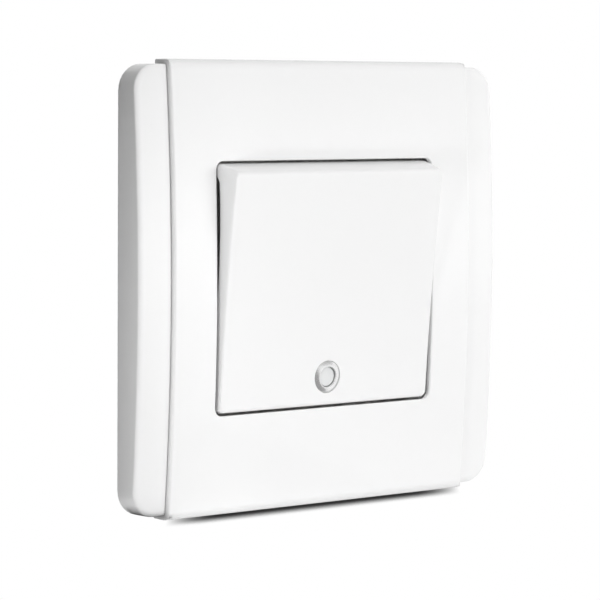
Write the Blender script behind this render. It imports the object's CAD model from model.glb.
"""Finished surfaces, materials and stage of a one-gang wall rocker switch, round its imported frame."""

import math
from types import SimpleNamespace

import bmesh
import bpy
import numpy as np
from bpy.props import FloatProperty, FloatVectorProperty, PointerProperty
from mathutils import Matrix, Vector


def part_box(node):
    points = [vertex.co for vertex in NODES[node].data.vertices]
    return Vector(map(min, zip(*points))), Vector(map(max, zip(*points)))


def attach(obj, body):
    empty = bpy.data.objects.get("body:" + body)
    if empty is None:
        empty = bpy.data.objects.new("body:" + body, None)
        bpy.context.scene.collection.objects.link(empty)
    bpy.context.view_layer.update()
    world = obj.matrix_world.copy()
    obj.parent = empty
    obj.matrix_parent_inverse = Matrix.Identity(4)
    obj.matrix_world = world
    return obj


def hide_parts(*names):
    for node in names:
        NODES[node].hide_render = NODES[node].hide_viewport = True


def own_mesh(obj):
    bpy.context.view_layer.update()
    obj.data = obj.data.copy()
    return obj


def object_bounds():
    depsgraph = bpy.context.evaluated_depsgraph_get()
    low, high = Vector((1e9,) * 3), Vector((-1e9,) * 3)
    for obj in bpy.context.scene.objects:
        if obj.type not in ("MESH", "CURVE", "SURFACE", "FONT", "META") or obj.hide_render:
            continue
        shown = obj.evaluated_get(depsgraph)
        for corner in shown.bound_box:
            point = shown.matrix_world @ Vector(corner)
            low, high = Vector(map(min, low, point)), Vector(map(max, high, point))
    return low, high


bl_info = {
    "name": "Wall rocker switch",
    "version": (1, 0, 0),
    "blender": (4, 5, 0),
    "location": "3D View > Sidebar > Switch",
    "description": "Builds the finished surfaces of a wall rocker switch round its packed frame",
    "category": "Add Mesh",
}

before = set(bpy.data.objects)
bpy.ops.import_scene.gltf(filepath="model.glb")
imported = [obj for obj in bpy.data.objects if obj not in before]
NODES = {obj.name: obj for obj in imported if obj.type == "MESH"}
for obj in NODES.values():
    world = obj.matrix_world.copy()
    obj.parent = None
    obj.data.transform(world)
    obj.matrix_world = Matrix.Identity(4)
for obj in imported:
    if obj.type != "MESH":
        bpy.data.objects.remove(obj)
CAD_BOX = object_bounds()
MM = 0.001


def node_box(node):
    """Lowest and highest corner of a CAD node, in millimetres."""
    low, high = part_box(node)
    return np.array(low) / MM, np.array(high) / MM


COVER_HIGH = node_box("front_cover")[1]
FLANK_LOW, FLANK_HIGH = node_box("right_flank")


# Sizes, finishes and studio


def length(name, description, millimetres):
    """A length property, set in millimetres and kept in metres."""
    return FloatProperty(
        name=name, description=description, default=millimetres * MM, unit="LENGTH", precision=5, min=0
    )


def angle(name, description, degrees):
    """An angle property, set in degrees and kept in radians."""
    return FloatProperty(name=name, description=description, default=math.radians(degrees), subtype="ANGLE")


def number(name, description, value):
    """A property that is a plain number from zero up."""
    return FloatProperty(name=name, description=description, default=value, min=0)


def tone(name, description, colour):
    """A colour property in linear light, set as three shares or as one for a grey."""
    default = np.broadcast_to(colour, 3).tolist()
    return FloatVectorProperty(
        name=name, description=description, default=default, subtype="COLOR", size=3, min=0, max=1
    )


class PlateSizes(bpy.types.PropertyGroup):
    """Sizes of the cover and of the flanks beside it."""

    cover_front: length("Cover front", "From the wall to the cover's front at its middle", 7.35)
    flank_front: length("Flank front", "From the wall to a flank's front at its middle", 6.4)
    crown: length("Crown", "Rise of the plate from its ends to its middle", 1.9)
    flank_corner: length("Flank corner", "Radius of a flank's outer corners", 5)
    flank_draft: length("Flank draft", "How far a flank's outer wall leans in towards its front", 0.35)
    flank_back_edge: length("Flank back edge", "Rounding of a flank's edge at the wall", 0.35)
    flank_wall_edge: length("Flank wall edge", "Rounding of a flank's outer front edge, along its wall", 0.5)
    flank_face_edge: length("Flank face edge", "Rounding of a flank's outer front edge, along its face", 1.2)
    seam_edge: length("Seam edge", "Rounding of a flank's front edge at the seam", 0.12)
    seam_back_edge: length("Seam back edge", "Rounding of a flank's back edge at the seam", 0.02)
    seam_corner: length("Seam corner", "Radius of a flank's corners at the seam", 0.2)
    cover_corner: length("Cover corner", "Radius of the cover's corners", 0.4)
    cover_end_edge: length("Cover end edge", "Rounding of the cover's top and bottom edges", 1.7)
    cover_side_edge: length("Cover side edge", "Rounding of the cover's side edges", 0.45)
    cover_step: length("Cover step", "From a flank's end to the step in the cover's rim", 0.05)
    step_run: length("Step run", "Half the height over which the cover's rim steps", 0.02)
    aperture_w: length("Aperture width", "Width of the rocker's aperture", 54.2)
    aperture_h: length("Aperture height", "Height of the rocker's aperture", 48)
    aperture_corner: length("Aperture corner", "Radius of the aperture's corners", 1.7)
    aperture_edge: length("Aperture edge", "Rounding of the aperture's front edge", 0.25)
    lip: length("Lip", "Thickness of the aperture's lip", 0.9)
    lip_relief: length("Lip relief", "Step behind the aperture's lip", 0.6)
    wall: length("Wall", "Thickness of the side walls", 1.6)
    front_wall: length("Front wall", "Thickness of the front walls", 1.8)
    frame_t: length("Frame", "Thickness of the wall frame behind the plate", 2)
    clearance: length("Clearance", "Loose clearance between pieces", 0.3)
    rim_gap: length("Rim gap", "From the wall to the cover's rim", 0.9)
    peg_x: length("Peg place across", "From the plate's centre across to the cover's pegs", 32.15)
    peg_z: length("Peg place up", "From the plate's centre up to the cover's pegs", 33.4)
    peg_r: length("Peg radius", "Radius of the cover's pegs", 1.6)
    pillar_r: length("Pillar radius", "Radius of the pillars that carry the pegs", 2.4)
    socket_rise: length("Socket rise", "Rise of the peg sockets from the frame", 1)
    peg_lead: length("Peg lead", "Chamfer at the pegs' ends", 0.3)
    flank_peg_r: length("Flank peg radius", "Radius of a flank's pegs", 1.2)
    flank_peg_inset: length("Flank peg inset", "From the frame's top edge down to a flank's peg", 14)


class RockerSizes(bpy.types.PropertyGroup):
    """Sizes of the rocker, its indicator and its spring, in the rocker's own level frame."""

    tilt: angle("Tilt", "Tilt of the rocker at rest", 5.75)
    pivot: length("Pivot", "From the wall forward to the pivot", 2)
    half_w: length("Half width", "Half the rocker's width at its skirt", 26.6)
    half_h: length("Half height", "Half the rocker's height where it passes the cover", 23.35)
    lean: length("Lean", "How far each side leans in from the skirt to the face", 0.65)
    flush_rise: length("Flush rise", "Rise of the face from the pivot at the pressed end", 4.915)
    dish: length("Dish", "Depth of the dished face at its middle", 0.5)
    corner: length("Corner", "Radius of the rocker's corners", 1.2)
    end_edge: length("End edge", "Rounding of the face's top and bottom edges", 0.5)
    side_edge: length("Side edge", "Rounding of the face's side edges", 0.4)
    wall: length("Wall", "Thickness of the rocker's walls", 1.6)
    face_wall: length("Face wall", "Thickness of the rocker's face", 2.2)
    skirt_rise: length("Skirt rise", "Rise of the end skirts' rims", 0.6)
    side_skirt: length("Side skirt", "Depth of the side skirts under the pocket at their middle", 0.2)
    arch: length("Arch", "Fall of the side skirts' arched rims towards their ends", 1.6)
    end_skirt: length("End skirt", "Length of the deep skirt at each end", 3)
    skirt_blend: length("Skirt blend", "How far the rim still rises past an end skirt", 0.8)
    inset: length("Indicator inset", "From the indicator's centre to the lower edge", 6)
    ring_r: length("Ring radius", "Outer radius of the indicator's ring", 3.1)
    ring_cone: length("Ring cone", "Fall of the ring from its crest to its rim", 0.3)
    ring_swell: number("Ring swell", "Power that the ring's fall follows: 1 is straight, more swells", 1.25)
    ring_bead: length("Ring bead", "Rounding of the ring's crest", 0.12)
    pipe_r: length("Pipe radius", "Radius of the light pipe", 1.9)
    fit: length("Fit", "Clearance round the ring and the light pipe", 0.08)
    ring_seat: length("Ring seat", "Depth of the ring's seat in the face", 0.8)
    ring_proud: length("Ring proud", "How far the ring stands out of the face", 0.15)
    pipe_recess: length("Pipe recess", "Depth of the light pipe's end under the ring's crest", 0.4)
    pipe_tail: length("Pipe tail", "How far the light pipe reaches behind the pocket", 0.5)
    pipe_edge: length("Pipe edge", "Rounding of the light pipe's ends", 0.1)
    chamfer: length("Seat chamfer", "Chamfer at the mouth of the ring's seat", 0.03)
    spring_start: length("Spring start", "From the pivot back to the fixed end of the spring", 1.3)
    spring_length: length("Spring length", "Length of the plunger's spring at rest", 4.8)
    spring_r: length("Spring radius", "Radius of the spring's coil at the middle of its wire", 1.8)
    spring_wire: length("Spring wire", "Radius of the spring's wire", 0.25)
    spring_turns: number("Spring turns", "Turns of the spring's coil", 4)


class Finishes(bpy.types.PropertyGroup):
    """Colours of the switch's materials."""

    plate_white: tone("Plate", "Glossy moulded plate", 0.9)
    rocker_white: tone("Rocker", "Satin-gloss moulded rocker", 0.9)
    housing_white: tone("Housing", "Matt rear mouldings", (0.74, 0.73, 0.7))
    carrier_nylon: tone("Nylon", "Carrier and plunger", (0.78, 0.76, 0.68))
    indicator_clear: tone("Ring", "Indicator ring", 0.9)
    indicator_frosted: tone("Light pipe", "Frosted end of the light pipe", (0.8, 0.81, 0.81))
    brass: tone("Brass", "Terminals and contact strips", (0.7, 0.5, 0.22))
    copper: tone("Copper", "Contact arm", (0.7, 0.38, 0.22))
    silver: tone("Silver", "Contact tips", 0.8)
    zinc_steel: tone("Zinc", "Screws, pin and spring", (0.6, 0.61, 0.63))
    board_green: tone("Board", "Solder mask", (0.03, 0.16, 0.07))
    lamp_epoxy: tone("Lamp", "Diffused epoxy", (0.7, 0.78, 0.66))
    resistor_coat: tone("Resistor", "Lacquer", (0.5, 0.36, 0.18))
    diode_black: tone("Diode", "Moulded epoxy", (0.02, 0.02, 0.022))


class Studio(bpy.types.PropertyGroup):
    """Camera and light."""

    azimuth: angle("Azimuth", "Camera's angle round the object", -39.601)
    elevation: angle("Elevation", "Camera's angle above the horizon", 4.335)
    roll: angle("Roll", "Camera's roll", 0.394)
    distance: length("Distance", "From the camera to its target", 554.6)
    lens: number("Lens", "Focal length in millimetres", 170.82)
    target: FloatVectorProperty(
        name="Target",
        description="Point the camera looks at",
        default=(-0.00105, 0, -0.00346),
        subtype="TRANSLATION",
    )
    ambient: number("Ambient", "Light of the room on the object", 0.27)
    key: number("Key", "Power of the soft key light, in watts", 7.3)
    key_azimuth: angle("Key azimuth", "Key's angle round the object", 10)
    key_elevation: angle("Key elevation", "Key's angle above the horizon", 55)
    key_distance: length("Key distance", "From the object to the key light", 1200)
    key_size: length("Key size", "Side of the key light's square", 800)
    side: number("Side", "Power of the light on the left, in watts", 0.075)
    fill: number("Fill", "Power of the low fill light, in watts", 0.72)
    rear: number("Rear", "Power of the light behind, in watts", 3.0)
    floor_tone: tone("Floor", "Colour of the floor", 0.88)
    shadow: length("Shadow reach", "How far the contact shadow reaches on the floor", 7.1)
    shadow_dark: number("Shadow dark", "Share of open space at which the shadow is darkest", 0.43)
    shadow_clear: number("Shadow clear", "Share of open space at which the shadow ends", 0.95)
    shadow_power: number("Shadow power", "Power that the shadow follows between the two", 2)
    shadow_tone: number("Shadow tone", "Light left where the shadow is darkest", 0.03)
    shadow_middle: length("Shadow middle", "From the object's centre across to the shadow's", 4)
    shadow_fade: length("Shadow fade", "Length over which the shadow fades at the cover's ends", 14)
    shadow_fade_power: number("Shadow fade power", "Power that the fading follows", 3)
    shadow_slant: number("Shadow slant", "Slant of the shadow's ends, across per length off the wall", 0.83)
    near_flag: tone("Near flag", "Colour of the low shading panel by the camera", 0.45)
    far_flag: tone("Far flag", "Colour of the dark shading panels on the left", 0.06)
    side_flag: tone("Side flag", "Colour of the shading panel by the light on the left", 0.65)
    low_card: tone("Low card", "Tone of the card on the floor that the indicator reflects", 0.36)
    high_card: tone("High card", "Tone of the card above the camera that the indicator reflects", 0.5)


def in_mm(group):
    """A property group's lengths in millimetres, and its other values as they are."""
    values = {}
    for name, prop in group.bl_rna.properties.items():
        if prop.type == "FLOAT":
            value = getattr(group, name)
            values[name] = value / MM if prop.unit == "LENGTH" and not prop.is_array else value
    return SimpleNamespace(**values)


# Surfaces

# Points along a corner, an edge's rounding, a turned surface and a coil
CORNER_STEPS = 8
EDGE_STEPS, SMALL_EDGE_STEPS, FLANK_EDGE_STEPS = 7, 5, 9
AROUND, PEG_AROUND = 96, 40
WIRE_RINGS, WIRE_SIDES = 40, 12
# Shares of the way along a side, up a wall or across a face at which points lie
SIDE_STOPS = np.concatenate([[0.004], np.linspace(0, 1, 42)[1:-1], [0.996]])
FACE_SHARES = [0.015, 0.12, 0.26, 0.4, 0.55, 0.7, 0.85, 0.985]
COVER_WALL, COVER_INSIDE = [0.5, 0.97], [0.3, 0.65]
FLANK_WALL, FLANK_FACE, FLANK_INSIDE = [0.03, 0.5, 0.97], [0.04, 0.4, 0.75, 1], [0, 0.5]
ROCKER_WALL, ROCKER_INSIDE = [0, 0.3, 0.65, 0.96], [0.5]
# Least radii of a corner, in millimetres, and where an outward vector counts as square to a side
LEAST_CORNER, LEAST_ROCKER_CORNER = 0.05, 0.3
SQUARE = 0.99
WELD_STEPS_PER_MM = 1e4

CORNER_ANGLES = (np.arange(4)[:, None] + np.linspace(0, 1, CORNER_STEPS + 1)) * np.pi / 2
CORNER_SIGNS = np.array([[1, 1], [-1, 1], [-1, -1], [1, -1]], float)


def unit_vectors(angles):
    """Unit vectors at angles from X towards Z."""
    return np.stack([np.cos(angles), np.sin(angles)], -1)


def outline(x0, x1, half_z, radii, stops):
    """A rounded rectangle as an array of points (N, 2).

    Each point is a corner's centre plus its radius times a unit vector that turns a quarter round
    that corner, or a mix of the ends of two such arcs at the shares in stops. The corners run
    anticlockwise from the upper right one, with one radius for all or one for each."""
    low, high = np.array([x0, -half_z]), np.array([x1, half_z])
    radius = np.broadcast_to(radii, 4)[:, None]
    centre = np.where(CORNER_SIGNS > 0, high, low) - CORNER_SIGNS * radius
    corner = centre[:, None] + radius[:, None] * unit_vectors(CORNER_ANGLES)
    share = np.asarray(stops)[:, None]
    side = corner[:, -1:] * (1 - share) + np.roll(corner, -1, axis=0)[:, :1] * share
    return np.concatenate([corner, side], axis=1).reshape(-1, 2)


def outward(stops):
    """The outward unit vectors of an outline: they turn a quarter at each corner and hold along each side."""
    held = np.repeat(CORNER_ANGLES[:, -1:], len(stops), axis=1)
    return unit_vectors(np.concatenate([CORNER_ANGLES, held], axis=1).ravel())


def rounded_edge(start, corner, end, steps=EDGE_STEPS):
    """Rows of an edge's rounding: the circular arc that a weighted quadratic blend draws.

    The blend runs from start to end and is pulled towards the sharp corner, whose weight is the
    cosine of half the turn between the ways into and out of that corner."""
    way_in, way_out = corner - start, end - corner
    straight = np.einsum("ij,ij->i", way_in, way_out)
    straight /= np.linalg.norm(way_in, axis=1) * np.linalg.norm(way_out, axis=1)
    weight = np.sqrt((1 + straight) / 2)[:, None]
    t = np.linspace(0, 1, steps)[:, None, None]
    pull = 2 * weight * t * (1 - t)
    return ((1 - t) ** 2 * start + pull * corner + t**2 * end) / ((1 - t) ** 2 + pull + t**2)


def rows_between(first, last, shares):
    """Rows at the given shares of the straight way from one row to another."""
    share = np.asarray(shares)[:, None, None]
    return first * (1 - share) + last * share


def stacked(*parts):
    """Rows and blocks of rows, in order, as one grid."""
    return np.concatenate([part if part.ndim == 3 else part[None] for part in parts])


def grid_quads(rows, columns, closed):
    """Quads of a grid whose columns close on themselves, and its rows too if closed."""
    row = np.arange(rows if closed else rows - 1)[:, None]
    column = np.arange(columns)[None, :]
    here, after, beside = row * columns, (row + 1) % rows * columns, (column + 1) % columns
    return np.stack([here + column, here + beside, after + beside, after + column], -1).reshape(-1, 4)


def skin(grid, closed=True):
    """A grid of rows as a closed skin: welded points, and quads and triangles that face outwards.

    Points within a tenth of a micron become one, faces that lose an edge become triangles or go,
    and the sign of the enclosed volume says whether the faces are turned round."""
    rows, columns = grid.shape[:2]
    points = grid.reshape(-1, 3)
    keys = np.round(points * WELD_STEPS_PER_MM).astype(np.int64)
    _, first, merged = np.unique(keys, axis=0, return_index=True, return_inverse=True)
    points = points[first]
    quads = merged.reshape(-1)[grid_quads(rows, columns, closed)]
    same = quads == np.roll(quads, -1, axis=1)
    crossed = (quads[:, 0] == quads[:, 2]) | (quads[:, 1] == quads[:, 3])
    whole = quads[~same.any(1) & ~crossed]
    lost = quads[(same.sum(1) == 1) & ~crossed]
    drop = np.argmax(lost == np.roll(lost, -1, axis=1), axis=1)
    keep = (drop[:, None] + np.arange(1, 4)) % 4
    triangles = np.take_along_axis(lost, keep, axis=1)
    halves = np.concatenate([whole[:, [0, 1, 2]], whole[:, [0, 2, 3]], triangles])
    a, b, c = (points[halves[:, k]] for k in range(3))
    if np.einsum("ij,ij->i", a, np.cross(b, c)).sum() < 0:
        whole, triangles = whole[:, ::-1], triangles[:, ::-1]
    return points, whole, triangles


def turned(profile, around=AROUND):
    """A surface of revolution about Z: a profile of (radius, height) points carried round a circle."""
    profile = np.asarray(profile, float)
    turn = np.arange(around) * 2 * np.pi / around
    radius, height = profile[:, :1], profile[:, 1:]
    return np.stack([radius * np.cos(turn), radius * np.sin(turn), height + 0 * turn], -1)


def peg(x, z, steps):
    """A stepped round peg along Y from a list of (radius, depth) points, closed at both ends."""
    steps = np.asarray(steps, float)
    profile = np.concatenate([[[0, steps[0, 1]]], steps, [[0, steps[-1, 1]]]])
    grid = turned(profile, PEG_AROUND)
    return skin(np.stack([grid[..., 0] + x, grid[..., 2], grid[..., 1] + z], -1), closed=False)


# Materials

# Name: (cloud, gloss, spread, grain scale, bump strength, bump height in mm, index of refraction)
MOULDED = {
    "plate_white": (0.012, 0.16, 0.06, 2600, 0.08, 0.02, 1.5),
    "rocker_white": (0.012, 0.2, 0.06, 3200, 0.1, 0.02, 1.5),
    "housing_white": (0.06, 0.48, 0.14, 5200, 0.3, 0.03, 1.5),
    "carrier_nylon": (0.08, 0.36, 0.12, 3600, 0.2, 0.03, 1.53),
    "indicator_frosted": (0.03, 0.38, 0.1, 6000, 0.15, 0.02, 1.5),
    "board_green": (0.5, 0.3, 0.2, 900, 0.2, 0.04, 1.5),
    "lamp_epoxy": (0.1, 0.16, 0.08, 3000, 0.1, 0.02, 1.55),
    "resistor_coat": (0.2, 0.42, 0.2, 2200, 0.3, 0.05, 1.5),
    "diode_black": (0.2, 0.42, 0.2, 4200, 0.3, 0.04, 1.5),
}
# Name: (stain as a share of the tone, stretch, gloss, spread)
DRAWN = {
    "brass": ((0.62, 0.5, 0.36), (260, 4200, 4200), 0.2, 0.24),
    "copper": ((0.66, 0.52, 0.44), (4200, 4200, 240), 0.2, 0.24),
    "silver": ((0.8, 0.8, 0.78), (2600, 2600, 2600), 0.22, 0.2),
    "zinc_steel": ((0.72, 0.74, 0.8), (1700, 1700, 1700), 0.22, 0.26),
    "indicator_clear": ((0.97, 0.97, 0.97), (2400, 2400, 2400), 0.2, 0.08),
}
# Bump strength and height in mm
DRAWN_BUMP = (0.12, 0.01)
WHITE = (1, 1, 1, 1)


def add_node(tree, kind, **settings):
    """A new node: settings named in_X fill the input X or link a socket to it, others are attributes."""
    node = tree.nodes.new(kind)
    for key, value in settings.items():
        if not key.startswith("in_"):
            setattr(node, key, value)
    for key, value in settings.items():
        if key.startswith("in_"):
            label = key[3:].replace("_", " ")
            socket = node.inputs[int(label) if label.isdigit() else label]
            if isinstance(value, bpy.types.NodeSocket):
                tree.links.new(value, socket)
            else:
                socket.default_value = value
    return node


def maths(tree, operation, *values):
    """The result of an operation on numbers or sockets."""
    inputs = {f"in_{index}": value for index, value in enumerate(values)}
    return add_node(tree, "ShaderNodeMath", operation=operation, **inputs).outputs[0]


def noise(tree, place, scale, detail, roughness):
    """The value of a noise at a place."""
    inputs = {"in_Vector": place, "in_Scale": scale, "in_Detail": detail, "in_Roughness": roughness}
    return add_node(tree, "ShaderNodeTexNoise", **inputs).outputs["Fac"]


def mixed(tree, share, first, second):
    """A mix of two shaders."""
    inputs = {"in_Fac": share, "in_1": first.outputs[0], "in_2": second.outputs[0]}
    return add_node(tree, "ShaderNodeMixShader", **inputs)


def surface_group(name, inputs):
    """An empty shader group with inputs (name, kind, default) that gives colour, roughness and height."""
    group = bpy.data.node_groups.new(name, "ShaderNodeTree")
    for label, kind, default in inputs:
        socket = group.interface.new_socket(label, in_out="INPUT", socket_type="NodeSocket" + kind)
        socket.default_value = default
    for label, kind in (("Colour", "Color"), ("Roughness", "Float"), ("Height", "Float")):
        group.interface.new_socket(label, in_out="OUTPUT", socket_type="NodeSocket" + kind)
    return group, group.nodes.new("NodeGroupInput").outputs


def end_group(group, given, colour, cloud, height):
    """Ends a surface group: its roughness is Gloss plus Spread times a cloud."""
    rough = maths(group, "MULTIPLY_ADD", cloud, given["Spread"], given["Gloss"])
    add_node(group, "NodeGroupOutput", in_Colour=colour, in_Roughness=rough, in_Height=height)
    return group


def moulded_group():
    """Moulded plastic: a slow cloud of tone, a finer cloud of gloss, and a fine grain for the bump.

    Colour = the tone darkened by Cloud times a slow noise; Roughness = Gloss plus Spread times a
    finer noise; Height = a fine noise."""
    name = "moulded surface"
    if name in bpy.data.node_groups:
        return bpy.data.node_groups[name]
    group, given = surface_group(
        name,
        [
            ("Tone", "Color", (0.8, 0.8, 0.8, 1)),
            ("Cloud", "Float", 0.02),
            ("Gloss", "Float", 0.25),
            ("Spread", "Float", 0.05),
            ("Grain scale", "Float", 2500.0),
        ],
    )
    place = add_node(group, "ShaderNodeTexCoord").outputs["Object"]
    slow = noise(group, place, scale=60.0, detail=3.0, roughness=0.55)
    fine = noise(group, place, scale=420.0, detail=4.0, roughness=0.6)
    grain = noise(group, place, scale=given["Grain scale"], detail=2.0, roughness=0.5)
    light = maths(group, "SUBTRACT", 1.0, maths(group, "MULTIPLY", slow, given["Cloud"]))
    colour = add_node(group, "ShaderNodeVectorMath", operation="SCALE", in_0=given["Tone"], in_Scale=light)
    return end_group(group, given, colour.outputs[0], fine, grain)


def drawn_group():
    """Drawn or rolled metal: noise stretched along Stretch gives streaks in tone, gloss and height.

    Streak = a noise on Object coordinates times Stretch; Colour = a mix from Tone to Stain by the
    streak and a slow cloud; Roughness = Gloss plus Spread times the streak."""
    name = "drawn metal"
    if name in bpy.data.node_groups:
        return bpy.data.node_groups[name]
    group, given = surface_group(
        name,
        [
            ("Tone", "Color", (0.8, 0.8, 0.8, 1)),
            ("Stain", "Color", (0.5, 0.5, 0.5, 1)),
            ("Stretch", "Vector", (200.0, 200.0, 4000.0)),
            ("Gloss", "Float", 0.25),
            ("Spread", "Float", 0.2),
        ],
    )
    place = add_node(group, "ShaderNodeTexCoord").outputs["Object"]
    drawn = add_node(group, "ShaderNodeVectorMath", operation="MULTIPLY", in_0=place, in_1=given["Stretch"])
    streak = noise(group, drawn.outputs[0], scale=1.0, detail=3.0, roughness=0.6)
    cloud = noise(group, place, scale=260.0, detail=4.0, roughness=0.6)
    stain = maths(group, "MULTIPLY", streak, cloud)
    ends = {"in_A": given["Tone"], "in_B": given["Stain"]}
    colour = add_node(group, "ShaderNodeMix", data_type="RGBA", in_Factor=stain, **ends)
    return end_group(group, given, colour.outputs["Result"], streak, streak)


def new_material(name, group, settings, bump, **shader):
    """A material: one surface group into one Principled shader, with a bump of the group's height."""
    material = bpy.data.materials.new(name)
    material.use_nodes = True
    tree = material.node_tree
    principled = tree.nodes["Principled BSDF"]
    for label, value in shader.items():
        principled.inputs[label].default_value = value
    surface = add_node(tree, "ShaderNodeGroup", node_tree=group)
    for label, value in settings.items():
        surface.inputs[label].default_value = value
    strength, height = bump
    relief = add_node(tree, "ShaderNodeBump", in_Strength=strength, in_Distance=height * MM)
    tree.links.new(surface.outputs["Height"], relief.inputs["Height"])
    tree.links.new(surface.outputs["Colour"], principled.inputs["Base Color"])
    tree.links.new(surface.outputs["Roughness"], principled.inputs["Roughness"])
    tree.links.new(relief.outputs["Normal"], principled.inputs["Normal"])
    return material


def finish_of(slot):
    """The material of a record slot, made when first asked for."""
    if slot in bpy.data.materials:
        found = bpy.data.materials[slot]
        if "switch_finish" in found:
            return found
        found.name = slot + ".packed"
    tint = tuple(getattr(bpy.context.scene.switch_finishes, slot))
    values = {"Tone": (*tint, 1)}
    if slot in MOULDED:
        cloud, gloss, spread, scale, strength, height, refraction = MOULDED[slot]
        values |= {"Cloud": cloud, "Gloss": gloss, "Spread": spread, "Grain scale": scale}
        material = new_material(slot, moulded_group(), values, (strength, height), IOR=refraction)
    else:
        stain, stretch, gloss, spread = DRAWN[slot]
        worn = tuple(t * s for t, s in zip(tint, stain))
        values |= {"Stain": (*worn, 1), "Stretch": stretch, "Gloss": gloss, "Spread": spread}
        material = new_material(slot, drawn_group(), values, DRAWN_BUMP, Metallic=1.0)
    material["switch_finish"] = True
    return material


# Placing

# Angles in degrees: over which an edge shows, over which one is rounded, under which faces are one
SHARP, RING_SHARP = 35, 50
BEVEL_ANGLE = 40
FLAT_ANGLE = 0.4
# Segments of a rounded edge, and the distance in mm within which points are one
BEVEL_SEGMENTS = 2
WELD = 0.001


def place_piece(name, mesh, body, nodes, slot, sharp=SHARP):
    """Links a mesh as a piece with its slot's finish, on its body, in place of its CAD nodes."""
    mesh.shade_smooth()
    mesh.set_sharp_from_angle(angle=math.radians(sharp))
    piece = bpy.data.objects.new(name, mesh)
    bpy.context.scene.collection.objects.link(piece)
    mesh.materials.clear()
    mesh.materials.append(finish_of(slot))
    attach(piece, body)
    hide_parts(*nodes)
    return piece


def make_piece(name, shells, body, node, slot, sharp=SHARP):
    """A piece from closed skins in millimetres, in place of a CAD node."""
    points, faces, start = [], [], 0
    for verts, quads, triangles in shells:
        points.append(verts)
        faces += (quads + start).tolist() + (triangles + start).tolist()
        start += len(verts)
    mesh = bpy.data.meshes.new(name)
    mesh.from_pydata(np.concatenate(points) * MM, [], faces)
    mesh.validate()
    return place_piece(name, mesh, body, [node], slot, sharp)


def softened_copy(node, name, width, body, slot):
    """A merged copy of a CAD node with its flat faces joined and its edges rounded by a bevel."""
    shape = bmesh.new()
    shape.from_mesh(NODES[node].data)
    bmesh.ops.remove_doubles(shape, verts=shape.verts, dist=WELD * MM)
    bmesh.ops.dissolve_limit(
        shape,
        angle_limit=math.radians(FLAT_ANGLE),
        use_dissolve_boundaries=False,
        verts=shape.verts,
        edges=shape.edges,
    )
    mesh = bpy.data.meshes.new(name)
    shape.to_mesh(mesh)
    shape.free()
    bevel = place_piece(name, mesh, body, [node], slot).modifiers.new("edges", "BEVEL")
    bevel.width = width * MM
    bevel.segments = BEVEL_SEGMENTS
    bevel.limit_method = "ANGLE"
    bevel.angle_limit = math.radians(BEVEL_ANGLE)
    bevel.use_clamp_overlap = True
    bevel.harden_normals = True


def dress(slot, *nodes):
    """Gives CAD nodes that keep their own shape the finish of their slot."""
    for node in nodes:
        mesh = NODES[node].data
        mesh.materials.clear()
        mesh.materials.append(finish_of(slot))


# Pieces


def crown_drop(z, half_h, crown):
    """How far a crowned front falls back at height z: the sagitta of one circle through its ends."""
    radius = half_h**2 / (2 * crown) + crown / 2
    return radius - np.sqrt(radius**2 - z**2)


def at_depth(plan, depth):
    """Points from their plan (x, z) and their depth y, or their rise in the rocker's own frame."""
    return np.stack([plan[..., 0], np.broadcast_to(depth, plan.shape[:-1]), plan[..., 1]], -1)


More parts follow.
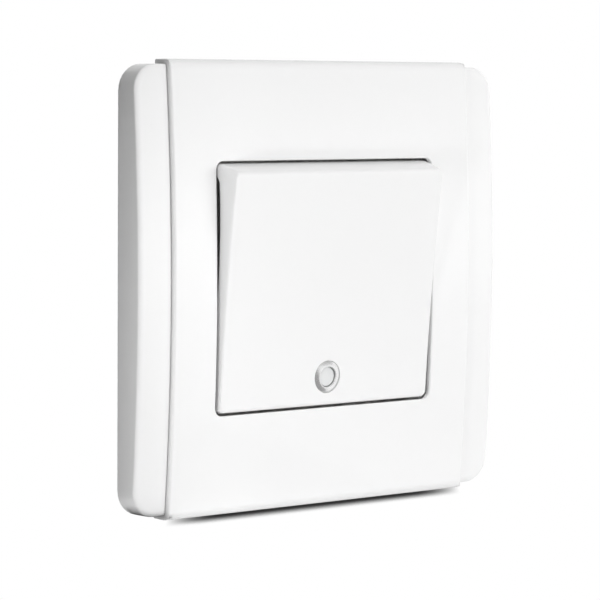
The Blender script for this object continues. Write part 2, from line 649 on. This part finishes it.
class SWITCH_OT_cover(bpy.types.Operator):
    """The clip-on cover: one closed skin round its walls, crowned front and aperture, on four pegs."""

    bl_idname = "switch.cover"
    bl_label = "Cover"

    def execute(self, context):
        s = in_mm(context.scene.switch_plate)
        half_w, half_h = COVER_HIGH[0], COVER_HIGH[2]
        notch, straight = FLANK_HIGH[2] + s.cover_step, half_h - s.cover_corner
        step = (straight - notch + np.array([-s.step_run, s.step_run])) / (2 * straight)
        stops = np.unique(np.concatenate([SIDE_STOPS, step, 1 - step]))
        turn = outward(stops)
        edge = s.cover_side_edge * turn[:, 0] ** 2 + s.cover_end_edge * turn[:, 1] ** 2

        def outer(inset_x, inset_z):
            corner = max(s.cover_corner - min(inset_x, inset_z), LEAST_CORNER)
            return outline(inset_x - half_w, half_w - inset_x, half_h - inset_z, corner, stops)

        def aperture(grow):
            x, z = s.aperture_w / 2 + grow, s.aperture_h / 2 + grow
            return outline(-x, x, z, s.aperture_corner + grow, stops)

        def front(plan, behind=0.0):
            drop = crown_drop(plan[..., 1], half_h, s.crown)
            return at_depth(plan, drop - s.cover_front + behind)

        side_back = -s.frame_t - s.clearance
        lip_t = half_h - FLANK_HIGH[2] - s.clearance
        rim = np.where(np.abs(outer(0, 0)[:, 1]) > notch, -s.rim_gap, side_back)
        foot, wall_top = at_depth(outer(0, 0), rim), front(outer(0, 0), edge)
        face_start, face_end = outer(s.cover_side_edge, s.cover_end_edge), aperture(s.aperture_edge)
        mouth, relief, inner = aperture(0), aperture(s.lip_relief), outer(s.wall, s.wall)
        shell = stacked(
            foot,
            rows_between(foot, wall_top, COVER_WALL),
            rounded_edge(wall_top, front(outer(0, 0)), front(face_start)),
            front(rows_between(face_start, face_end, FACE_SHARES)),
            rounded_edge(front(face_end), front(mouth), front(mouth, s.aperture_edge), SMALL_EDGE_STEPS),
            front(mouth, s.lip),
            front(relief, s.lip),
            front(relief, s.front_wall),
            front(rows_between(relief, inner, COVER_INSIDE), s.front_wall),
            front(inner, s.front_wall),
            at_depth(inner, side_back),
            at_depth(outer(lip_t, lip_t), side_back),
            at_depth(outer(lip_t, lip_t), rim),
        )
        top = crown_drop(s.peg_z, half_h, s.crown) - s.cover_front + s.front_wall / 2
        shoulder = -s.frame_t - s.socket_rise - s.clearance
        steps = [
            (s.pillar_r, top),
            (s.pillar_r, shoulder),
            (s.peg_r, shoulder),
            (s.peg_r, -s.clearance - s.peg_lead),
            (s.peg_r - s.peg_lead, -s.clearance),
        ]
        pegs = [peg(i * s.peg_x, k * s.peg_z, steps) for i in (-1, 1) for k in (-1, 1)]
        make_piece("cover_shell", [skin(shell), *pegs], "cover", "front_cover", "plate_white")
        return {"FINISHED"}


class SWITCH_OT_flanks(bpy.types.Operator):
    """The two flanks: crowned strips with rounded outer corners, hollow behind, on two pegs each."""

    bl_idname = "switch.flanks"
    bl_label = "Flanks"

    def execute(self, context):
        s = in_mm(context.scene.switch_plate)
        x0, x1, half_h = FLANK_LOW[0], FLANK_HIGH[0], FLANK_HIGH[2]
        cover_half = COVER_HIGH[2]
        turn = outward(SIDE_STOPS)
        seam_side = np.clip(-turn[:, 0], 0, 1) ** 2
        edge = s.seam_edge * seam_side + s.flank_wall_edge * (1 - seam_side)

        def plan(inset, seam, lean=0.0):
            near = max(s.seam_corner - seam, LEAST_CORNER)
            far = max(s.flank_corner - inset, LEAST_CORNER)
            return outline(x0 + seam, x1 - inset - lean, half_h - inset, [far, near, near, far], SIDE_STOPS)

        def front(flat, behind=0.0):
            return at_depth(flat, crown_drop(flat[..., 1], cover_half, s.crown) - s.flank_front + behind)

        def spine(flat):
            reach = half_h - s.flank_corner
            return np.stack([np.full(len(flat), (x0 + x1) / 2), np.clip(flat[:, 1], -reach, reach)], -1)

        level = -s.frame_t
        on_frame = (turn[:, 0] < -SQUARE) & (np.abs(plan(0, 0)[:, 1]) < half_h - s.wall)
        rim = np.where(on_frame, level, 0)
        hollow = s.wall + s.clearance
        back_start = at_depth(plan(s.flank_back_edge, s.seam_back_edge), rim)
        wall_foot = at_depth(plan(0, 0), rim - s.flank_back_edge)
        leant = plan(0, 0, s.flank_draft)
        wall_top = front(leant, edge)
        face_start = plan(s.flank_face_edge, s.seam_edge, s.flank_draft)
        inside, rebate = plan(hollow, s.wall), plan(s.wall, s.wall)
        strip = stacked(
            front(rows_between(spine(inside), inside, FLANK_INSIDE), s.front_wall),
            front(inside, s.front_wall),
            at_depth(inside, level),
            at_depth(rebate, level),
            at_depth(rebate, rim),
            rounded_edge(back_start, at_depth(plan(0, 0), rim), wall_foot, SMALL_EDGE_STEPS),
            rows_between(wall_foot, wall_top, FLANK_WALL),
            rounded_edge(wall_top, front(leant), front(face_start), FLANK_EDGE_STEPS),
            front(rows_between(face_start, spine(face_start), FLANK_FACE)),
        )
        peg_x = (x0 + x1 - s.wall) / 2
        peg_z = half_h - hollow - s.flank_peg_inset
        top = crown_drop(peg_z, cover_half, s.crown) - s.flank_front + s.front_wall / 2
        steps = [
            (s.flank_peg_r, top),
            (s.flank_peg_r, -s.clearance - s.peg_lead),
            (s.flank_peg_r - s.peg_lead, -s.clearance),
        ]
        for side, node in ((1, "right_flank"), (-1, "left_flank")):
            pegs = [peg(side * peg_x, k * peg_z, steps) for k in (-1, 1)]
            shells = [skin(strip * np.array([side, 1, 1])), *pegs]
            make_piece(node + "_shell", shells, "base", node, "plate_white")
        return {"FINISHED"}


def on_rocker(grid, s):
    """From the rocker's own frame (x, rise, z) to its place: turned by the tilt about its pivot."""
    c, d = math.cos(s.tilt), math.sin(s.tilt)
    x, rise, z = grid[..., 0], grid[..., 1], grid[..., 2]
    return np.stack([x, -rise * c - z * d - s.pivot, z * c - rise * d], -1)


def rocker_values(context):
    """The rocker's sizes in millimetres with those that follow from them."""
    s = in_mm(context.scene.switch_rocker)
    s.end_r = math.hypot(s.half_h, s.flush_rise)
    s.face_end = s.flush_rise * math.cos(s.tilt) + s.half_h * math.sin(s.tilt)
    s.face_mid = s.face_end - s.dish
    s.dish_r = s.half_h**2 / (2 * s.dish) + s.dish / 2
    s.pocket = s.face_mid - s.face_wall
    s.side_half = s.half_h - s.end_skirt
    s.arch_r = s.side_half**2 / (2 * s.arch) + s.arch / 2
    s.slope = s.lean / (s.face_end - s.skirt_rise)
    s.drop = s.half_h - s.inset
    s.ring_floor = face_rise(s.drop - s.ring_r, s) - s.ring_seat
    s.ring_top = face_rise(s.drop, s) + s.ring_proud
    return s


def face_rise(z, s):
    """Rise of the dished face at height z: the middle's rise plus the sagitta of the dish."""
    return s.face_mid + s.dish_r - np.sqrt(s.dish_r**2 - z**2)


class SWITCH_OT_rocker(bpy.types.Operator):
    """The rocker: a dished face over walls whose ends lie on one cylinder about the pivot."""

    bl_idname = "switch.rocker"
    bl_label = "Rocker"
    taper_steps = 8
    edge_passes = 3

    def execute(self, context):
        s = rocker_values(context)
        taper_end = (s.end_skirt - s.corner) / (2 * (s.half_h - s.corner))
        taper = np.linspace(0, taper_end, self.taper_steps)[1:]
        stops = np.unique(np.concatenate([SIDE_STOPS, taper, 1 - taper]))
        turn = outward(stops)
        edge = s.side_edge * turn[:, 0] ** 2 + s.end_edge * turn[:, 1] ** 2

        def plan(rise, inset_x=0.0, inset_z=0.0):
            """Outline at each point's own rise: its ends on the cylinder's chord, its sides leant in."""
            half_x = s.half_w - s.slope * (rise - s.skirt_rise) - inset_x
            half_z = np.sqrt(s.end_r**2 - rise**2) - inset_z
            corner = max(s.corner - min(inset_x, inset_z), LEAST_ROCKER_CORNER)
            level = outline(-s.half_w, s.half_w, s.half_h, corner, stops)
            return level * np.stack([half_x / s.half_w, half_z / s.half_h], -1)

        top = plan(np.full(len(turn), face_rise(s.half_h, s)))
        for _ in range(self.edge_passes):
            top = plan(face_rise(top[:, 1], s))
        height = np.clip(top[:, 1], -s.side_half, s.side_half)
        arched = s.pocket - s.side_skirt - s.arch_r + np.sqrt(s.arch_r**2 - height**2)
        blend = s.end_skirt - s.corner + s.skirt_blend
        share = np.clip((s.half_h - s.corner - np.abs(top[:, 1])) / blend, 0, 1)
        on_side = np.abs(turn[:, 0]) > SQUARE
        rim = s.skirt_rise + np.where(on_side, arched - s.skirt_rise, 0) * share**2 * (3 - 2 * share)
        high = face_rise(top[:, 1], s)

        def wall_row(share):
            rise = rim + (high - edge - rim) * share
            return at_depth(plan(rise), rise)

        face_start = plan(high, s.side_edge, s.end_edge)
        centre = np.array([0, -s.drop])
        ray = face_start - centre
        ray = ray / np.linalg.norm(ray, axis=1, keepdims=True)

        def face(flat, under=0.0):
            return at_depth(flat, face_rise(flat[..., 1], s) - under)

        seat_r = s.ring_r + s.fit
        mouth, seat = centre + (seat_r + s.chamfer) * ray, centre + seat_r * ray
        hole = centre + (s.pipe_r + s.fit) * ray
        pocket_in = plan(np.full(len(turn), s.pocket), s.wall, s.wall)
        shell = stacked(
            *(wall_row(share) for share in ROCKER_WALL),
            rounded_edge(wall_row(1), at_depth(top, high), face(face_start)),
            face(rows_between(face_start, mouth, FACE_SHARES)),
            face(mouth),
            face(seat, s.chamfer),
            at_depth(seat, s.ring_floor),
            at_depth(hole, s.ring_floor),
            at_depth(hole, s.pocket),
            at_depth(rows_between(hole, pocket_in, ROCKER_INSIDE), s.pocket),
            at_depth(pocket_in, s.pocket),
            at_depth(plan(rim, s.wall, s.wall), np.minimum(rim, s.pocket)),
        )
        make_piece("rocker_shell", [skin(on_rocker(shell, s))], "rocker", "rocker", "rocker_white")
        return {"FINISHED"}


class SWITCH_OT_indicator(bpy.types.Operator):
    """The indicator: a coned ring with a rounded crest, and the frosted end of the light pipe in it."""

    bl_idname = "switch.indicator"
    bl_label = "Indicator"
    cone_steps, bead_steps = 12, 6
    pipe_edge_steps, pipe_end_steps = 5, 8

    def execute(self, context):
        s = rocker_values(context)

        def stood(profile):
            grid = turned(profile)
            return on_rocker(np.stack([grid[..., 0], grid[..., 2], grid[..., 1] - s.drop], -1), s)

        inner = s.pipe_r + s.fit
        crest_r = inner + s.ring_bead
        share = np.linspace(0, 1, self.cone_steps)
        cone_r = s.ring_r + (crest_r - s.ring_r) * share
        bead = np.linspace(0, np.pi / 2, self.bead_steps)[1:]
        bead_rise = s.ring_top + s.ring_bead * (np.cos(bead) - 1)
        profile = [
            [[inner, s.ring_floor], [s.ring_r, s.ring_floor]],
            np.stack([cone_r, s.ring_top - s.ring_cone * (1 - share) ** s.ring_swell], -1),
            np.stack([crest_r - s.ring_bead * np.sin(bead), bead_rise], -1),
        ]
        ring = skin(stood(np.concatenate(profile)))
        make_piece("indicator_bezel", [ring], "rocker", "indicator_ring", "indicator_clear", RING_SHARP)

        end, tail = s.ring_top - s.pipe_recess, s.pocket - s.pipe_tail
        flat_r = s.pipe_r - s.pipe_edge
        turn = np.linspace(0, np.pi / 2, self.pipe_edge_steps)
        disc = np.linspace(flat_r, 0, self.pipe_end_steps)[1:]
        profile = [
            [[0, tail], [flat_r, tail], [s.pipe_r, tail + s.pipe_edge]],
            np.stack([flat_r + s.pipe_edge * np.cos(turn), end + s.pipe_edge * (np.sin(turn) - 1)], -1),
            np.stack([disc, end + 0 * disc], -1),
        ]
        pipe = skin(stood(np.concatenate(profile)), closed=False)
        make_piece("indicator_lens", [pipe], "rocker", "light_pipe", "indicator_frosted", RING_SHARP)
        return {"FINISHED"}


class SWITCH_OT_spring(bpy.types.Operator):
    """The plunger's spring: a round wire carried along a helix, shortening as the plunger slides in."""

    bl_idname = "switch.spring"
    bl_label = "Spring"

    def execute(self, context):
        s = rocker_values(context)
        share = np.linspace(0, 1, 1 + int(WIRE_RINGS * s.spring_turns))[:, None]
        around = np.arange(WIRE_SIDES) * 2 * np.pi / WIRE_SIDES
        turn = 2 * np.pi * s.spring_turns * share
        radius = s.spring_r + s.spring_wire * np.cos(around)
        rise = s.spring_length - 2 * s.spring_wire
        depth = s.spring_start + s.spring_wire * (1 + np.sin(around)) + rise * share
        wire = np.stack([radius * np.cos(turn), -depth, radius * np.sin(turn)], -1)
        middle = np.broadcast_to(wire.mean(axis=1, keepdims=True), wire.shape)
        coil = skin(on_rocker(stacked(middle[0], wire, middle[-1]), s), closed=False)
        piece = make_piece("plunger_coil", [coil], "rocker", "plunger_spring", "zinc_steel")
        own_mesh(piece)
        return {"FINISHED"}


class SWITCH_OT_mouldings(bpy.types.Operator):
    """The frame, the rear housing, the yoke and the carrier, with softened edges, and the plunger."""

    bl_idname = "switch.mouldings"
    bl_label = "Mouldings"

    def execute(self, context):
        for node, name, width, body, slot in (
            ("base_frame", "frame_moulding", 0.2, "base", "plate_white"),
            ("mechanism_housing", "housing_moulding", 0.25, "base", "housing_white"),
            ("pivot_yoke", "yoke_moulding", 0.15, "base", "housing_white"),
            ("rocker_carrier", "carrier_moulding", 0.15, "rocker", "carrier_nylon"),
        ):
            softened_copy(node, name, width, body, slot)
        dress("carrier_nylon", "plunger")
        return {"FINISHED"}


class SWITCH_OT_metalwork(bpy.types.Operator):
    """Terminals, contact strips, contact arm, tips, pins and screws."""

    bl_idname = "switch.metalwork"
    bl_label = "Metalwork"

    def execute(self, context):
        for node, name, width, slot in (
            ("common_terminal", "common_terminal_block", 0.2, "brass"),
            ("upper_terminal", "upper_terminal_block", 0.2, "brass"),
            ("lower_terminal", "lower_terminal_block", 0.2, "brass"),
            ("terminal_screws", "clamp_screws", 0.12, "brass"),
            ("mechanism_screws", "housing_screws", 0.15, "zinc_steel"),
        ):
            softened_copy(node, name, width, "base", slot)
        dress("brass", "common_bracket", "upper_contact", "lower_contact", "lamp_pins")
        dress("copper", "contact_arm")
        dress("silver", "moving_contact_tips", "fixed_contact_tips")
        dress("zinc_steel", "fulcrum_pin", "yoke_screws")
        return {"FINISHED"}


class SWITCH_OT_circuit(bpy.types.Operator):
    """The indicator's circuit board with its lamp, resistor and diode."""

    bl_idname = "switch.circuit"
    bl_label = "Circuit"

    def execute(self, context):
        dress("board_green", "circuit_board")
        dress("lamp_epoxy", "indicator_lamp")
        dress("resistor_coat", "lamp_resistor")
        dress("diode_black", "lamp_diode")
        return {"FINISHED"}


# Stage, in metres

SENSOR_W_MM = 36
CLIP_START, CLIP_END = 0.01, 20
FLOOR_HALF = 3.0
SHADOW_SAMPLES = 16
# Height of flat flags and cards over the floor
OVER_FLOOR = 0.0005
# Upright flags: (name, tone, two ends of the foot, lower and upper edge over the floor)
UPRIGHT_FLAGS = (
    ("near_flag", "near_flag", [(0.06, -0.45), (-0.3, -0.27)], (0.0, 0.1)),
    ("high_flag", "far_flag", [(-0.3, -0.3), (-0.3, 0.0)], (0.16, 0.6)),
    ("far_flag", "far_flag", [(-0.3, 0.0), (-0.1, 0.5)], (0.0, 0.6)),
    ("side_flag", "side_flag", [(-0.1, -0.04), (-0.1, 0.06)], (0.0, 0.075)),
)
# Flat flags: corners by name
FLAT_FLAGS = {
    "floor_flag": [(-0.3, 0.0), (-0.05, 0.0), (-0.05, 0.5), (-0.1, 0.5)],
    "foot_flag": [(-0.0445, -0.0065), (-0.036, -0.0065), (-0.036, 0.001), (-0.0445, 0.001)],
}
# Cards: corners of the flat one, and the upright one's foot with its lower and upper edge
LOW_CARD = [(-0.3, -0.012), (0.02, -0.012), (0.06, -0.4), (-0.3, -0.4)]
HIGH_CARD = [(-0.35, -0.5), (0.7, -0.5)], (0.1, 0.6)
# Lamps beside the key: (place, width and height) by name
LAMPS = {
    "side": ((-0.16, -0.075, -0.035), (0.015, 0.01)),
    "fill": ((0.3, -0.4, 0), (0.3, 0.08)),
    "rear": ((0.15, 0.6, 0.08), (0.4, 0.2)),
}


def way_to(azimuth, elevation):
    """The unit vector from the object at an angle round it from the front and one above the horizon."""
    flat = math.cos(elevation)
    return Vector((math.sin(azimuth) * flat, -math.cos(azimuth) * flat, math.sin(elevation)))


def flat_corners(corners, height):
    """Corners (x, y) laid at a height."""
    return [(x, y, height) for x, y in corners]


def upright_corners(foot, low, high):
    """Corners of an upright panel over the two ends of its foot."""
    return flat_corners(foot, low) + flat_corners(foot[::-1], high)


class SWITCH_OT_stage(bpy.types.Operator):
    """Floor, soft light and the camera at the photograph's angle."""

    bl_idname = "switch.stage"
    bl_label = "Stage"

    def execute(self, context):
        studio = context.scene.switch_studio
        self.camera(context.scene, studio)
        self.floor(studio, CAD_BOX[0].z)
        self.flags(studio, CAD_BOX[0].z)
        self.room(context.scene, studio)
        self.lamps(studio)
        context.scene.view_settings.view_transform = "Standard"
        return {"FINISHED"}

    def camera(self, scene, studio):
        """Looks at the target from the azimuth and elevation, rolled about its own line of sight."""
        back = way_to(studio.azimuth, studio.elevation)
        level = Vector((math.cos(studio.azimuth), math.sin(studio.azimuth), 0))
        upright = back.cross(level)
        c, d = math.cos(studio.roll), math.sin(studio.roll)
        turn = Matrix((level * c + upright * d, upright * c - level * d, back)).transposed().to_4x4()
        data = bpy.data.cameras.new("camera")
        data.lens, data.sensor_width = studio.lens, SENSOR_W_MM
        data.clip_start, data.clip_end = CLIP_START, CLIP_END
        camera = bpy.data.objects.new("camera", data)
        scene.collection.objects.link(camera)
        camera.matrix_world = Matrix.Translation(Vector(studio.target) + back * studio.distance) @ turn
        scene.camera = camera

    def bare_material(self, name):
        """A material without nodes, and its tree."""
        material = bpy.data.materials.new(name)
        material.use_nodes = True
        material.node_tree.nodes.clear()
        return material, material.node_tree

    def panel(self, name, corners, material):
        """A flat four-sided stage panel."""
        mesh = bpy.data.meshes.new(name)
        mesh.from_pydata(corners, [], [(0, 1, 2, 3)])
        mesh.materials.append(material)
        obj = bpy.data.objects.new(name, mesh)
        bpy.context.scene.collection.objects.link(obj)
        return obj

    def floor(self, studio, height):
        """A pale floor, white to the camera and in reflections but for the object's contact shadow.

        The shadow is how much of the space over a point the object closes off within its reach:
        white = the share of the way from the dark to the clear open share, to a power, and no less
        than the shadow's tone. It fades out with a power of the way to the ends of the cover's foot,
        along lines that slant to the wall."""
        material, tree = self.bare_material("floor")
        path = add_node(tree, "ShaderNodeLightPath").outputs
        reach = {"samples": SHADOW_SAMPLES, "in_Distance": studio.shadow}
        open_share = add_node(tree, "ShaderNodeAmbientOcclusion", **reach).outputs["AO"]
        part = self.share_of(tree, open_share, studio.shadow_dark, studio.shadow_clear)
        dark = maths(tree, "MAXIMUM", maths(tree, "POWER", part, studio.shadow_power), studio.shadow_tone)
        place = add_node(tree, "ShaderNodeTexCoord").outputs["Object"]
        split = add_node(tree, "ShaderNodeSeparateXYZ", in_0=place).outputs
        slanted = maths(tree, "MULTIPLY_ADD", split["Y"], -studio.shadow_slant, split["X"])
        across = maths(tree, "ABSOLUTE", maths(tree, "SUBTRACT", slanted, studio.shadow_middle))
        end = COVER_HIGH[0] * MM
        ending = self.share_of(tree, across, end - studio.shadow_fade, end)
        lit = maths(tree, "POWER", ending, studio.shadow_fade_power)
        strength = add_node(tree, "ShaderNodeMix", in_Factor=lit, in_A=dark, in_B=1.0).outputs["Result"]
        plain = add_node(tree, "ShaderNodeBsdfDiffuse", in_Color=(*studio.floor_tone, 1))
        white = add_node(tree, "ShaderNodeEmission", in_Color=WHITE, in_Strength=1.0)
        shown = add_node(tree, "ShaderNodeEmission", in_Color=WHITE, in_Strength=strength)
        mirrored = mixed(tree, path["Is Glossy Ray"], plain, white)
        seen = mixed(tree, path["Is Camera Ray"], mirrored, shown)
        add_node(tree, "ShaderNodeOutputMaterial", in_Surface=seen.outputs[0])
        corners = [(-FLOOR_HALF, -FLOOR_HALF), (FLOOR_HALF, -FLOOR_HALF)]
        corners += [(FLOOR_HALF, FLOOR_HALF), (-FLOOR_HALF, FLOOR_HALF)]
        self.panel("floor", flat_corners(corners, height), material)

    def share_of(self, tree, value, low, high):
        """How far a value lies from a low to a high one, from 0 to 1."""
        ends = {"in_Value": value, "in_From_Min": low, "in_From_Max": high}
        return add_node(tree, "ShaderNodeMapRange", **ends).outputs["Result"]

    def flags(self, studio, height):
        """Shading flags by the camera, on the left and on the floor, and two cards that are mirrored."""
        for name, colour, foot, (low, high) in UPRIGHT_FLAGS:
            self.flag(name, getattr(studio, colour), upright_corners(foot, height + low, height + high))
        low = height + OVER_FLOOR
        for name, corners in FLAT_FLAGS.items():
            self.flag(name, studio.far_flag, flat_corners(corners, low)).visible_shadow = False
        foot, edges = HIGH_CARD
        self.card("low_card", studio.low_card, flat_corners(LOW_CARD, low))
        self.card("high_card", studio.high_card, upright_corners(foot, *edges))

    def one_tone(self, name, kind, colour, corners):
        """A stage panel with a single plain shader, unseen by the camera."""
        material, tree = self.bare_material(name)
        shader = add_node(tree, kind, in_Color=(*colour, 1))
        add_node(tree, "ShaderNodeOutputMaterial", in_Surface=shader.outputs[0])
        panel = self.panel(name, corners, material)
        panel.visible_camera = False
        return panel

    def flag(self, name, colour, corners):
        """A shading panel that light and reflections see."""
        return self.one_tone(name, "ShaderNodeBsdfDiffuse", colour, corners)

    def card(self, name, colour, corners):
        """A grey card that only reflections see."""
        card = self.one_tone(name, "ShaderNodeEmission", colour, corners)
        card.visible_diffuse = card.visible_shadow = card.visible_transmission = False

    def room(self, scene, studio):
        """A white room to the camera, in reflections and through glass, and a dimmer one as light."""
        world = bpy.data.worlds.new("room")
        world.use_nodes = True
        scene.world = world
        tree = world.node_tree
        tree.nodes.clear()
        path = add_node(tree, "ShaderNodeLightPath").outputs
        light = add_node(tree, "ShaderNodeBackground", in_Color=WHITE, in_Strength=studio.ambient)
        white = add_node(tree, "ShaderNodeBackground", in_Color=WHITE, in_Strength=1.0)
        either = maths(tree, "MAXIMUM", path["Is Camera Ray"], path["Is Glossy Ray"])
        any_of = maths(tree, "MAXIMUM", either, path["Is Transmission Ray"])
        both = mixed(tree, any_of, light, white)
        add_node(tree, "ShaderNodeOutputWorld", in_Surface=both.outputs[0])

    def lamps(self, studio):
        """A large soft key from above at the front, and small lamps on the left, at the right and behind."""
        way = way_to(studio.key_azimuth, studio.key_elevation)
        self.lamp("key", way * studio.key_distance, (studio.key_size, studio.key_size), studio.key)
        for name, (place, size) in LAMPS.items():
            self.lamp(name, Vector(place), size, getattr(studio, name))

    def lamp(self, name, place, size, power):
        """A lamp of a width and height that faces the object, unseen by the camera and by reflections."""
        data = bpy.data.lights.new(name, "AREA")
        data.shape, data.energy = "RECTANGLE", power
        data.size, data.size_y = size
        lamp = bpy.data.objects.new(name, data)
        bpy.context.scene.collection.objects.link(lamp)
        lamp.visible_glossy = False
        lamp.visible_camera = False
        lamp.matrix_world = Matrix.Translation(place) @ place.to_track_quat("Z", "Y").to_matrix().to_4x4()


class SWITCH_PT_panel(bpy.types.Panel):
    """Sizes, finishes and the steps that build the switch."""

    bl_idname = "SWITCH_PT_panel"
    bl_label = "Wall rocker switch"
    bl_space_type = "VIEW_3D"
    bl_region_type = "UI"
    bl_category = "Switch"

    def draw(self, context):
        for operator in OPERATORS:
            self.layout.operator(operator.bl_idname)
        for name in GROUPS:
            group = getattr(context.scene, name)
            box = self.layout.box()
            for prop in group.bl_rna.properties:
                if prop.type == "FLOAT":
                    box.prop(group, prop.identifier)


GROUPS = {
    "switch_plate": PlateSizes,
    "switch_rocker": RockerSizes,
    "switch_finishes": Finishes,
    "switch_studio": Studio,
}
OPERATORS = (
    SWITCH_OT_cover,
    SWITCH_OT_flanks,
    SWITCH_OT_rocker,
    SWITCH_OT_indicator,
    SWITCH_OT_spring,
    SWITCH_OT_mouldings,
    SWITCH_OT_metalwork,
    SWITCH_OT_circuit,
    SWITCH_OT_stage,
)


def register():
    for group in GROUPS.values():
        bpy.utils.register_class(group)
    for name, group in GROUPS.items():
        setattr(bpy.types.Scene, name, PointerProperty(type=group))
    for operator in OPERATORS:
        bpy.utils.register_class(operator)
    bpy.utils.register_class(SWITCH_PT_panel)


def unregister():
    bpy.utils.unregister_class(SWITCH_PT_panel)
    for operator in reversed(OPERATORS):
        bpy.utils.unregister_class(operator)
    for name in GROUPS:
        delattr(bpy.types.Scene, name)
    for group in reversed(list(GROUPS.values())):
        bpy.utils.unregister_class(group)


def main():
    register()
    for operator in OPERATORS:
        section, step = operator.bl_idname.split(".")
        getattr(getattr(bpy.ops, section), step)()


if __name__ == "__main__":
    main()
